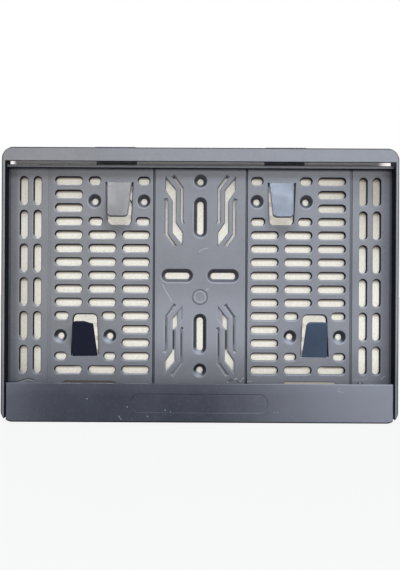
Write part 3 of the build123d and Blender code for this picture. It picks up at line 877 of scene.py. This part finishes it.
def paper_colour(tree, coords, in_gap, slit_shade):
    """Fibrous cream, brown in the painted shade, with painted shade in the left hook window and behind the
    shut slits, and painted shadows and dark crumbs in black.
    """
    place = tree.split(coords)
    plain = mottled(tree, tree.noise(coords, *FIBRE), PAPER_COLOUR, FIBRE_TINTS)
    colour = tree.blend(tree.most(paper_light(tree, coords), in_gap), PAPER_BROWN, plain)
    colour = tree.blend(in_gap, colour, GAP_CREAM)
    left_window_shade = tree.times(tree.ramp(place.z, *WINDOW_HEIGHT), tree.under(place.x, 0.0))
    colour = tree.blend(left_window_shade, colour, PAPER_WINDOW_SHADE)
    colour = tree.blend(slit_shade, colour, PAPER_SLIT_SHADE)
    return tree.blend(marked(tree, coords, both_sides(PAIRED_SHADOWS) + LEFT_BLACKS), colour, PAPER_SHADOW_AND_CRUMB_BLACK)


def paper_glow(tree, coords, in_gap, slit_shade):
    """Share of the paper that glows with painted light of its own: less where ambient occlusion finds it
    covered, dim in the gap at the top but for painted light at its ends, and full behind the shut slits.
    """
    place = tree.split(coords)
    shade = tree.add("ShaderNodeAmbientOcclusion", {"samples": SHADE_SAMPLES}, Distance=SHADE_REACH)
    uncovered = tree.ramp(shade.outputs["AO"], *PAPER_OPEN, 0.0, PAPER_GLOW)
    below_gap = tree.times(uncovered, tree.minus(1.0, in_gap))
    at_ends = tree.most(tree.ramp(place.x, *GAP_LEFT), tree.ramp(place.x, *GAP_RIGHT))
    gap_light = tree.most(at_ends, tree.ramp(place.z, *GAP_DIM))
    return tree.most(tree.plus(tree.times(in_gap, gap_light), below_gap, clamp=True), slit_shade)


def paper_material():
    """Cream paper that partly glows as painted light, seen from the front only, so that views from behind
    show the holder's back.
    """
    material, tree = new_material("cream_paper")
    coords = places(tree)
    in_gap = tree.ramp(tree.split(coords).z, *GAP_START)
    slit_shade = marked(tree, coords, both_sides(PAIRED_SHUT_SLITS))
    colour = paper_colour(tree, coords, in_gap, slit_shade)
    lit = tree.add("ShaderNodeBsdfDiffuse", Color=colour).outputs[0]
    glow = tree.add("ShaderNodeEmission", Color=colour, Strength=1.0).outputs[0]
    front = tree.mixed_shaders(paper_glow(tree, coords, in_gap, slit_shade), lit, glow)
    behind = tree.add("ShaderNodeNewGeometry").outputs["Backfacing"]
    tree.show(tree.mixed_shaders(behind, front, tree.add("ShaderNodeBsdfTransparent").outputs[0]))
    return material


def background_rays(tree):
    """1 where a ray looks at the background directly, in a gloss or through glass."""
    path = tree.add("ShaderNodeLightPath")
    return tree.most(*[path.outputs[f"Is {kind} Ray"] for kind in ("Camera", "Glossy", "Transmission")])


def floor_material():
    """Pale floor that looks white and keeps a soft shadow."""
    material, tree = new_material("pale_floor")
    diffuse = tree.add("ShaderNodeBsdfDiffuse", Color=FLOOR_COLOUR).outputs[0]
    glow = tree.add("ShaderNodeEmission", Color=WHITE, Strength=1.0).outputs[0]
    tree.show(tree.mixed_shaders(tree.times(background_rays(tree), FLOOR_GLOW), diffuse, glow))
    return material


def make_stage():
    low = (BASE_LOW.x + PAPER_INSET, BASE_LOW.z + PAPER_INSET)
    high = (BASE_HIGH.x - PAPER_INSET, BASE_HIGH.z - PAPER_TOP_INSET)
    outline = rounded_outline(low, high, PAPER_CORNER, PAPER_CORNER_STEPS)
    points = [(x, PAPER_Y, z) for x, z in outline]
    paper = add_mesh("paper", points, [tuple(range(len(points)))], paper_material())
    paper.visible_diffuse = False
    paper.visible_glossy = False
    paper.visible_transmission = False
    paper.visible_shadow = False
    half = FLOOR_HALF
    corners = [(-half, -half, FLOOR_Z), (half, -half, FLOOR_Z), (half, half, FLOOR_Z), (-half, half, FLOOR_Z)]
    floor = add_mesh("floor", corners, [(0, 1, 2, 3)], floor_material())


def softbox(name, place, target, size, power, colour):
    light = bpy.data.lights.new(name, "AREA")
    light.shape = "RECTANGLE"
    light.size, light.size_y = size
    light.energy = power
    light.color = colour
    thing = bpy.data.objects.new(name, light)
    bpy.context.scene.collection.objects.link(thing)
    thing.location = place
    thing.rotation_euler = (Vector(target) - Vector(place)).to_track_quat("-Z", "Y").to_euler()


def make_lights():
    centre = (0, PANEL_Y, 0)
    softbox("key", KEY_PLACE, centre, KEY_SIZE, KEY_POWER, KEY_COLOUR)
    softbox("back_light", BACK_PLACE, centre, BACK_SIZE, BACK_POWER, NEUTRAL)
    for name, side, colour in MIRRORS:
        place, target = [(side * x, y, z) for x, y, z in (MIRROR_PLACE, MIRROR_TARGET)]
        softbox(name, place, target, MIRROR_SIZE, MIRROR_POWER, colour)


def make_world():
    """Dim sky for the light on the object, and white where it is looked at."""
    world = bpy.data.worlds.new("studio")
    bpy.context.scene.world = world
    world.use_nodes = True
    tree = Tree(world.node_tree)
    height = tree.split(tree.add("ShaderNodeTexCoord").outputs["Generated"]).z
    sky = tree.blend(tree.ramp(height, *SKY_RISE), SKY_BELOW, SKY_ABOVE)
    colour = tree.blend(background_rays(tree), sky, WHITE)
    background = tree.add("ShaderNodeBackground", Color=colour, Strength=1.0)
    tree.show(background.outputs[0], "ShaderNodeOutputWorld")


def make_camera():
    data = bpy.data.cameras.new("camera")
    data.lens = CAMERA_LENS
    camera = bpy.data.objects.new("camera", data)
    bpy.context.scene.collection.objects.link(camera)
    camera.location = (0, PANEL_Y - CAMERA_AWAY, CAMERA_Z)
    camera.rotation_euler = (math.pi / 2, -CAMERA_ROLL, 0)
    bpy.context.scene.camera = camera


dress_pieces()
make_stage()
make_lights()
make_world()
make_camera()

bpy.context.scene.view_settings.view_transform = "Standard"
